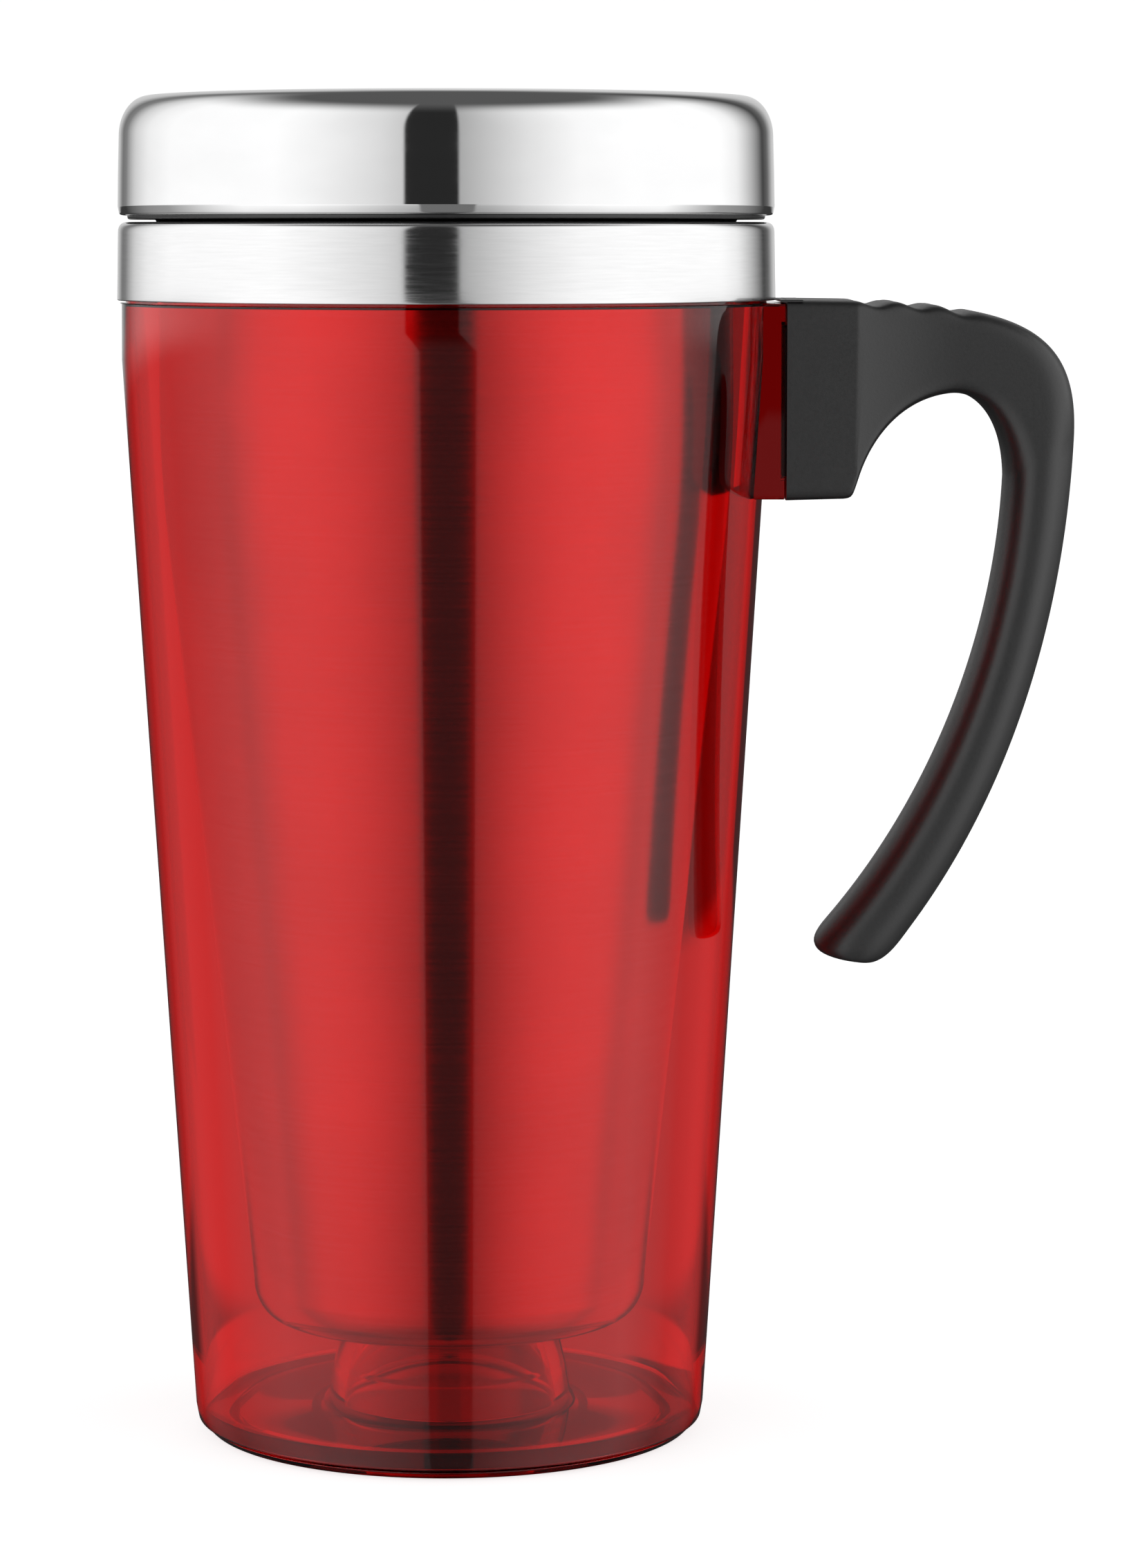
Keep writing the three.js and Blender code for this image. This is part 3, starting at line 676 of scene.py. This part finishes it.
def tenon(side):
    """Half of the peg that sits in the block's hollow."""
    reach = SOCKET_HALF_WIDTH - SOCKET_WALL - TENON_CLEAR
    bottom = SOCKET_BOTTOM + SOCKET_WALL + TENON_CLEAR
    top = SHELL_TOP - SOCKET_WALL - TENON_CLEAR
    outline = rounded([(side * SEAM, bottom, 0), (side * reach, bottom, SOCKET_CORNER),
                       (side * reach, top, SOCKET_CORNER), (side * SEAM, top, 0)])
    return box_along_x("tenon", outline, SOCKET_FACE - SOCKET_RECESS + 0.2, HANDLE_FACE + 2)


def lip(side):
    """Half of the thin lip that reaches over the top of the shell's block, towards the collar."""
    reach = BLOCK_HALF_WIDTH - 0.4
    outline = [Vector((side * SEAM, LIP_BOTTOM)), Vector((side * reach, LIP_BOTTOM)),
               Vector((side * reach, LIP_TOP)), Vector((side * SEAM, LIP_TOP))]
    return box_along_x("lip", outline, LIP_START, HANDLE_FACE + 2)


def handle_half(name, side, node):
    bm = bmesh.new()
    rings = [[bm.verts.new(p) for p in half_section(s, side)] for s in handle_stations()]
    for low, high in zip(rings, rings[1:]):
        for i in range(SIDE_STEPS):
            bm.faces.new([low[i], low[i + 1], high[i + 1], high[i]])
        bm.faces.new([low[SIDE_STEPS], low[0], high[0], high[SIDE_STEPS]])
    bm.faces.new(rings[0])
    bm.faces.new(rings[-1])
    half = new_object(name, bm)
    combine(half, tenon(side), "UNION")
    combine(half, lip(side), "UNION")
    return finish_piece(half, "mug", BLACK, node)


handle_half("handle_front", -1, "handle_front_half")
handle_half("handle_back", 1, "handle_back_half")

# ------------------------------------------------------------------ lid
DRINK_Y = -27.2
DRINK_SIZE = (13.0, 6.0)
VENT = (15.5, 21.0)
VENT_R = 1.1
TUBE_WALL = 1.6
PLUG_GAP = 0.3
PANEL_THICKNESS = 4.3
TRACK_DEPTH = 2.4
SLIDE_TRAVEL = 12.0
STEM_Y = -7.4
STEM_SIZE = (5.0, 6.0)
TAB_Y = 3.6
TAB_SIZE = (16.2, 7.5)
PLATE_THICKNESS = 1.85


def lid_cover():
    """The steel ring over the lid: an upright band, a rolled rim and a lip that turns in over the panel."""
    sheet = 0.7
    seat_r, seat_z = 41.6, 158.7
    band_r, band_z = 42.32, 159.9
    roll_r, roll_z, roll_height = 38.3, 168.8, 5.15
    roll_out, roll_in = 3.8, 2.7
    lip_r, lip_end_r, lip_z = 34.9, 33.2, 167.5
    outside = rounded([(seat_r, seat_z, 0.1), (42.12, seat_z + 0.15, 0.4), (band_r, band_z, 1.0),
                       (42.24, 164, 0)], 5)
    outside += ellipse_arc(roll_r, roll_z, roll_out, roll_height, 0, 90, 18)
    outside += ellipse_arc(roll_r, roll_z, roll_in, roll_height, 95, 172, 14)
    outside += rounded([(lip_r, lip_z, 0.5), (lip_end_r, lip_z, 0.3), (lip_end_r, lip_z - sheet, 0.2),
                        (lip_r + 0.2, lip_z - sheet, 0.4)], 4)
    inside = ellipse_arc(roll_r, roll_z, roll_in - sheet, roll_height - sheet, 172, 95, 8)
    inside += ellipse_arc(roll_r, roll_z, roll_out - sheet, roll_height - sheet, 90, 0, 10)
    inside += [Vector((band_r - sheet, band_z)), Vector((seat_r, seat_z + 0.2))]
    cover = turned("lid_cover_steel", outside + inside)
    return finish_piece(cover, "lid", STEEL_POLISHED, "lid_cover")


def drink_prism(name, grow, bottom, top):
    """The drink hole's shape, a slot with round ends, grown on all sides."""
    length, width = (size + 2 * grow for size in DRINK_SIZE)
    return prism(name, rounded_rectangle(length, width, width * 0.56, 0, DRINK_Y), bottom, top)


def pierce(piece, bottom, top):
    """Cuts the drink hole and the vent through a piece."""
    combine(piece, drink_prism("drink_hole", 0, bottom, top), "DIFFERENCE")
    combine(piece, disc("vent_hole", VENT_R, bottom, top, *VENT, 24), "DIFFERENCE")


def lid_body():
    """The lid's moulding: a panel, the plug's wall with the gasket's groove, two tubes and the track."""
    plug_bottom = PLUG_BOTTOM + PLUG_GAP
    panel_bottom = PANEL_TOP - PANEL_THICKNESS
    bore, groove_r = 33.6, 36.2
    clear_x, clear_y = 0.6, 0.8
    wall_bottom, groove_bottom, groove_top, plug_top = 149.6, 150.4, 155.4, 158.2
    body = turned("lid_body_moulding", rounded([
        (0, panel_bottom, 0), (bore, panel_bottom, 0.4), (bore, plug_bottom, 0.2),
        (NOSE_R, plug_bottom, 0.2), (NOSE_R, wall_bottom - 0.6, 0.3), (PLUG_R, wall_bottom, 0.3),
        (PLUG_R, groove_bottom, 0.2), (groove_r, groove_bottom, 0.2), (groove_r, groove_top, 0.2),
        (PLUG_R, groove_top, 0.2), (PLUG_R, plug_top, 0.3), (PANEL_R, plug_top, 0.4),
        (PANEL_R, PANEL_TOP, 0.5), (0, PANEL_TOP, 0),
    ], 4), 160)
    combine(body, drink_prism("tube", TUBE_WALL, plug_bottom, panel_bottom + 1), "UNION")
    combine(body, disc("vent_tube", VENT_R + 1.5, plug_bottom, panel_bottom + 1, *VENT), "UNION")
    track_length = SLIDER_BACK + SLIDE_TRAVEL - SLIDER_FRONT + clear_y
    track_y = (SLIDER_BACK + SLIDE_TRAVEL + SLIDER_FRONT) / 2
    track = rounded_rectangle(2 * SLIDER_HALF_WIDTH + clear_x, track_length, 3.4, 0, track_y)
    combine(body, prism("track", track, PANEL_TOP - TRACK_DEPTH, PANEL_TOP + 1), "DIFFERENCE")
    slot = rounded_rectangle(STEM_SIZE[0] + 0.7, STEM_SIZE[1] + SLIDE_TRAVEL + clear_y, 0.6,
                             0, STEM_Y + SLIDE_TRAVEL / 2)
    combine(body, prism("slot", slot, PANEL_TOP - 9, PANEL_TOP + 1), "DIFFERENCE")
    pierce(body, PLUG_BOTTOM - 1, PANEL_TOP + 1)
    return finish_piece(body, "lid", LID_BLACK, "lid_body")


def lid_bottom():
    base = turned("lid_bottom_disc", rounded([
        (0, LID_BOTTOM, 0), (NOSE_R, LID_BOTTOM, 1.4), (NOSE_R, PLUG_BOTTOM, 0.2), (0, PLUG_BOTTOM, 0),
    ]), 160)
    pierce(base, LID_BOTTOM - 1, PLUG_BOTTOM + 1)
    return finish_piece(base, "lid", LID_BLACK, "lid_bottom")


def lid_gasket():
    """The ring in the plug's groove, with two lips that reach for the liner."""
    low, high = 150.7, 155.1
    bore, waist = 36.5, 37.7
    outline = rounded([
        (bore, low, 0.1), (PLUG_R, low, 0.2), (GASKET_R, low + 1, 0.2), (GASKET_R, low + 1.5, 0.2),
        (waist, low + 1.9, 0.3), (waist, high - 1.6, 0.3), (GASKET_R, high - 1.2, 0.2),
        (GASKET_R, high - 0.7, 0.2), (PLUG_R, high, 0.2), (bore, high, 0.1),
    ], 4)
    ring = turned("lid_gasket_ring", outline, 160)
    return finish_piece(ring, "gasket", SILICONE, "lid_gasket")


def slider():
    """The shutter: a flat plate with a stem below, a grooved tab and a sunk arrow."""
    length = SLIDER_BACK - SLIDER_FRONT
    middle = (SLIDER_BACK + SLIDER_FRONT) / 2
    plate_top = PANEL_TOP - 0.05
    plate_bottom = plate_top - PLATE_THICKNESS
    plate = prism("slider_shutter", rounded_rectangle(2 * SLIDER_HALF_WIDTH, length, 3.2, 0, middle),
                  plate_bottom, plate_top)
    tab = rounded_rectangle(*TAB_SIZE, 2.6, 0, TAB_Y)
    combine(plate, prism("tab", tab, PANEL_TOP - 1, TAB_TOP), "UNION")
    stem = rounded_rectangle(*STEM_SIZE, 0.5, 0, STEM_Y)
    combine(plate, prism("stem", stem, STEM_BOTTOM, plate_bottom + 0.5), "UNION")
    soften(plate, 0.45)
    notch_r, notch_pitch, notch_reach = 0.55, 2, 9
    for step in (-1, 0, 1):
        notch = disc("notch", notch_r, -notch_reach, notch_reach, steps=20)
        place = Vector((0, TAB_Y + step * notch_pitch, TAB_TOP + 0.1)) * MM
        notch.data.transform(Matrix.Translation(place) @ Matrix.Rotation(math.radians(90), 4, "Y"))
        combine(plate, notch, "DIFFERENCE")
    arrow_half_width, arrow_back, arrow_tip = 2.4, -14, -17.5
    arrow = prism("arrow", [Vector((-arrow_half_width, arrow_back)), Vector((arrow_half_width, arrow_back)),
                            Vector((0, arrow_tip))], PANEL_TOP - 0.35, PANEL_TOP + 1)
    combine(plate, arrow, "DIFFERENCE")
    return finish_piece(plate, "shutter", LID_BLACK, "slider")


lid_cover()
lid_body()
lid_bottom()
lid_gasket()
slider()

for node, look in (("lid_insulation", FOAM), ("slider_seal", SILICONE), ("slider_clip", LID_BLACK),
                   ("slider_screw", STEEL_DRAWN)):
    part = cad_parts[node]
    part.data.materials.clear()
    part.data.materials.append(look)

# ------------------------------------------------------------------ studio
# Angles are in degrees. An azimuth is 0 behind the camera and positive towards +X. An elevation is that of
# the direction that a ray leaves in, negative when it goes down.

# Brightness of the light tent by azimuth.
TENT = [(-180, 0.66), (-164, 0.5), (-155, 0.16), (-149, 0.2), (-138, 0.6), (-126, 0.84), (-110, 0.97),
        (-60, 1.0), (-42, 0.88), (-22, 0.7), (-8, 0.52), (6, 0.40), (18, 0.58), (30, 0.76), (48, 0.94),
        (68, 1.0), (112, 1.0), (123, 0.86), (138, 0.34), (147, 0.05), (154, 0.12), (164, 0.5), (180, 0.66)]
# The same for rays that go down past the tent's foot.
TENT_FOOT = [(-180, 0.03), (-150, 0.04), (-128, 0.24), (-113, 0.3), (-101, 0.5), (-88, 0.76), (-75, 1.0),
             (-52, 1.05), (-36, 0.93), (-22, 0.74), (-8, 0.52), (6, 0.38), (18, 0.55), (30, 0.78),
             (46, 0.98), (62, 1.05), (84, 1.0), (98, 0.62), (112, 0.32), (128, 0.24), (150, 0.04),
             (180, 0.03)]
TENT_LEVEL = 1.12
BACKDROP_LEVEL = 1.02

# Where TENT_FOOT gives way to TENT, and where the foot and then everything dims on the way down.
FOOT_ELEVATION = (-3.2, -1.2)
DIM_ELEVATION, DIM_LEVEL = (-27.0, -12.0), 0.7
LOW_ELEVATION, LOW_LEVEL = (-55.0, -33.0), 0.4
CEILING_ELEVATION, CEILING_LEVEL = (36.0, 64.0), 0.1

# The edges of the dark slit: two places (elevation, azimuth) on each, and the edge's azimuth for rays that
# have come through the plastic.
SLIT_LEFT = ((-3.6, -8.0), (-2.2, -13.0), -10.5)
SLIT_RIGHT = ((-3.6, 11.5), (-2.2, 5.6), 12.0)
SLIT_BLUR = 0.7
# Brightness of the slit: for level and rising rays, for rays that go down, and through the plastic.
SLIT_LEVEL, FOOT_SLIT_LEVEL, LINER_SLIT_LEVEL = 0.02, 0.15, 0.035
SLIT_FOOT_ELEVATION = (-3.6, -2.2)

# The tent's back for rays that have come through the plastic: (azimuth, brightness) at its side and middle.
BACK_SIDES = (92.0, 104.0)
SEEN_THROUGH = ((167.0, 0.72), (178.0, 0.36))
# It is darker below BASE_ELEVATION, which shows at the mug's base, but not below STEEP_ELEVATION.
BASE_ELEVATION, BASE_LEVEL = (-13.1, -12.4), 0.18
BASE_SIDES = (140.0, 158.0)
STEEP_ELEVATION = (-42.0, -30.0)
# A dark strip above an elevation, for the handle's mirror image in the right side of the shell.
SHADE_AZIMUTH, SHADE_ELEVATION, SHADE_LEVEL = (160.0, 175.4), (-8.7, -8.2), 0.15
SHADE_BLUR = 1.2


class Sky:
    """The light tent: white sides that fall off behind, a dark slit behind the camera, a dim ceiling."""

    def __init__(self):
        world = bpy.data.worlds.new("tent")
        bpy.context.scene.world = world
        world.use_nodes = True
        self.tree = world.node_tree
        self.tree.nodes.clear()
        light_path = self.add("ShaderNodeLightPath")
        self.seen = light_path.outputs["Is Camera Ray"]
        self.through = light_path.outputs["Is Transmission Ray"]
        direction = self.add("ShaderNodeSeparateXYZ")
        self.feed(direction.inputs["Vector"], self.add("ShaderNodeTexCoord").outputs["Generated"])
        x, y, z = (direction.outputs[axis] for axis in "XYZ")
        self.azimuth = self.math("DEGREES", self.math("ARCTAN2", x, self.times(y, -1.0)))
        self.aside = self.math("ABSOLUTE", self.azimuth)
        self.elevation = self.math("DEGREES", self.math("ARCSINE", z))

    def add(self, kind):
        return self.tree.nodes.new(kind)

    def feed(self, socket, value):
        if isinstance(value, (int, float)):
            socket.default_value = value
        else:
            self.tree.links.new(value, socket)

    def math(self, operation, *values):
        node = self.add("ShaderNodeMath")
        node.operation = operation
        for socket, value in zip(node.inputs, values):
            self.feed(socket, value)
        return node.outputs["Value"]

    def times(self, first, second):
        return self.math("MULTIPLY", first, second)

    def without(self, value, share):
        """A value less a share of itself."""
        return self.times(value, self.math("SUBTRACT", 1.0, share))

    def blend(self, first, second, share):
        """Goes from the first value to the second as the share goes from 0 to 1."""
        return self.math("ADD", self.without(first, share), self.times(second, share))

    def ramp(self, value, start, end, low=0.0, high=1.0, smooth=True):
        node = self.add("ShaderNodeMapRange")
        node.interpolation_type = "SMOOTHSTEP" if smooth else "LINEAR"
        for key, number in (("Value", value), ("From Min", start), ("From Max", end), ("To Min", low),
                            ("To Max", high)):
            self.feed(node.inputs[key], number)
        return node.outputs["Result"]

    def profile(self, stops):
        """Brightness by azimuth, read from a list of (azimuth, brightness)."""
        node = self.add("ShaderNodeValToRGB")
        elements = node.color_ramp.elements
        while len(elements) < len(stops):
            elements.new(0.5)
        for element, (azimuth, level) in zip(elements, stops):
            element.position = (azimuth + 180) / 360
            element.color = (level, level, level, 1)
        self.feed(node.inputs["Fac"], self.ramp(self.azimuth, -180, 180, smooth=False))
        return node.outputs["Color"]

    def sides(self):
        """The tent's walls and their foot."""
        dimming = self.ramp(self.elevation, *DIM_ELEVATION, DIM_LEVEL, 1.0)
        foot = self.times(self.profile(TENT_FOOT), dimming)
        return self.blend(foot, self.profile(TENT), self.ramp(self.elevation, *FOOT_ELEVATION))

    def slit_edge(self, ends, sense):
        """Steps from 0 to 1 across an edge of the slit."""
        (low, low_azimuth), (high, high_azimuth), azimuth_through = ends
        edge = self.ramp(self.elevation, low, high, low_azimuth, high_azimuth, smooth=False)
        edge = self.ramp(self.through, 0, 1, edge, azimuth_through)
        past_edge = self.times(self.math("SUBTRACT", self.azimuth, edge), sense)
        return self.ramp(past_edge, -SLIT_BLUR, SLIT_BLUR)

    def with_slit(self, walls):
        share = self.times(self.slit_edge(SLIT_LEFT, 1.0), self.slit_edge(SLIT_RIGHT, -1.0))
        level = self.ramp(self.elevation, *SLIT_FOOT_ELEVATION, FOOT_SLIT_LEVEL, SLIT_LEVEL)
        return self.blend(walls, self.ramp(self.through, 0, 1, level, LINER_SLIT_LEVEL), share)

    def seen_through(self):
        """The tent's back for rays that have come through the plastic."""
        (side, bright), (middle, dim) = SEEN_THROUGH
        back = self.ramp(self.aside, side, middle, bright, dim)
        base = self.times(self.ramp(self.elevation, *BASE_ELEVATION, 1.0 - BASE_LEVEL, 0.0),
                          self.ramp(self.aside, *BASE_SIDES))
        base = self.times(base, self.ramp(self.elevation, *STEEP_ELEVATION))
        start, end = SHADE_AZIMUTH
        shade = self.times(self.ramp(self.azimuth, start - SHADE_BLUR, start + SHADE_BLUR),
                           self.ramp(self.azimuth, end - SHADE_BLUR, end + SHADE_BLUR, 1.0, 0.0))
        shade = self.times(shade, self.ramp(self.elevation, *SHADE_ELEVATION, 0.0, 1.0 - SHADE_LEVEL))
        return self.without(self.without(back, base), shade)

    def brightness(self):
        behind = self.times(self.ramp(self.aside, *BACK_SIDES), self.through)
        walls = self.blend(self.with_slit(self.sides()), self.seen_through(), behind)
        walls = self.times(walls, self.ramp(self.elevation, *LOW_ELEVATION, LOW_LEVEL, 1.0))
        ceiling = self.ramp(self.elevation, *CEILING_ELEVATION)
        return self.blend(self.times(walls, TENT_LEVEL), CEILING_LEVEL, ceiling)

    def background(self, level):
        node = self.add("ShaderNodeBackground")
        node.inputs["Color"].default_value = (1, 1, 1, 1)
        self.feed(node.inputs["Strength"], level)
        return node.outputs["Background"]

    def build(self):
        """Lights the scene with the tent, and shows the camera a plain white backdrop instead."""
        mix = self.add("ShaderNodeMixShader")
        shares = (self.seen, self.background(self.brightness()), self.background(BACKDROP_LEVEL))
        for socket, source in zip(mix.inputs, shares):
            self.feed(socket, source)
        self.feed(self.add("ShaderNodeOutputWorld").inputs["Surface"], mix.outputs["Shader"])


def floor():
    """A pale floor. Reflections and refractions look past it at the tent, as over a glowing table."""
    reach, drop = 40.0, 0.00002
    material = bpy.data.materials.new("floor_pale")
    material.use_nodes = True
    shader = material.node_tree.nodes["Principled BSDF"]
    shader.inputs["Base Color"].default_value = (0.8, 0.8, 0.8, 1)
    shader.inputs["Roughness"].default_value = 0.9
    shader.inputs["Specular IOR Level"].default_value = 0.0
    shader.inputs["Emission Color"].default_value = (1, 1, 1, 1)
    shader.inputs["Emission Strength"].default_value = 0.72
    mesh = bpy.data.meshes.new("floor")
    corners = [(-reach, -reach), (reach, -reach), (reach, reach), (-reach, reach)]
    mesh.from_pydata([(x, y, -drop) for x, y in corners], [], [range(len(corners))])
    mesh.materials.append(material)
    shape = bpy.data.objects.new("floor", mesh)
    bpy.context.scene.collection.objects.link(shape)
    shape.visible_glossy = False
    shape.visible_transmission = False


def camera():
    """A long lens level with the collar, a little off to the right and tilted down."""
    tilt = math.radians(-6.37)
    data = bpy.data.cameras.new("camera")
    data.sensor_width = 36
    data.lens = 113.73
    data.clip_start = 0.01
    data.clip_end = 200
    eye = bpy.data.objects.new("camera", data)
    eye.location = (0.0158, -0.644, 0.15675)
    eye.rotation_euler = (math.radians(90) + tilt, 0, 0)
    bpy.context.scene.collection.objects.link(eye)
    bpy.context.scene.camera = eye


Sky().build()
floor()
camera()
bpy.context.scene.view_settings.view_transform = "Standard"
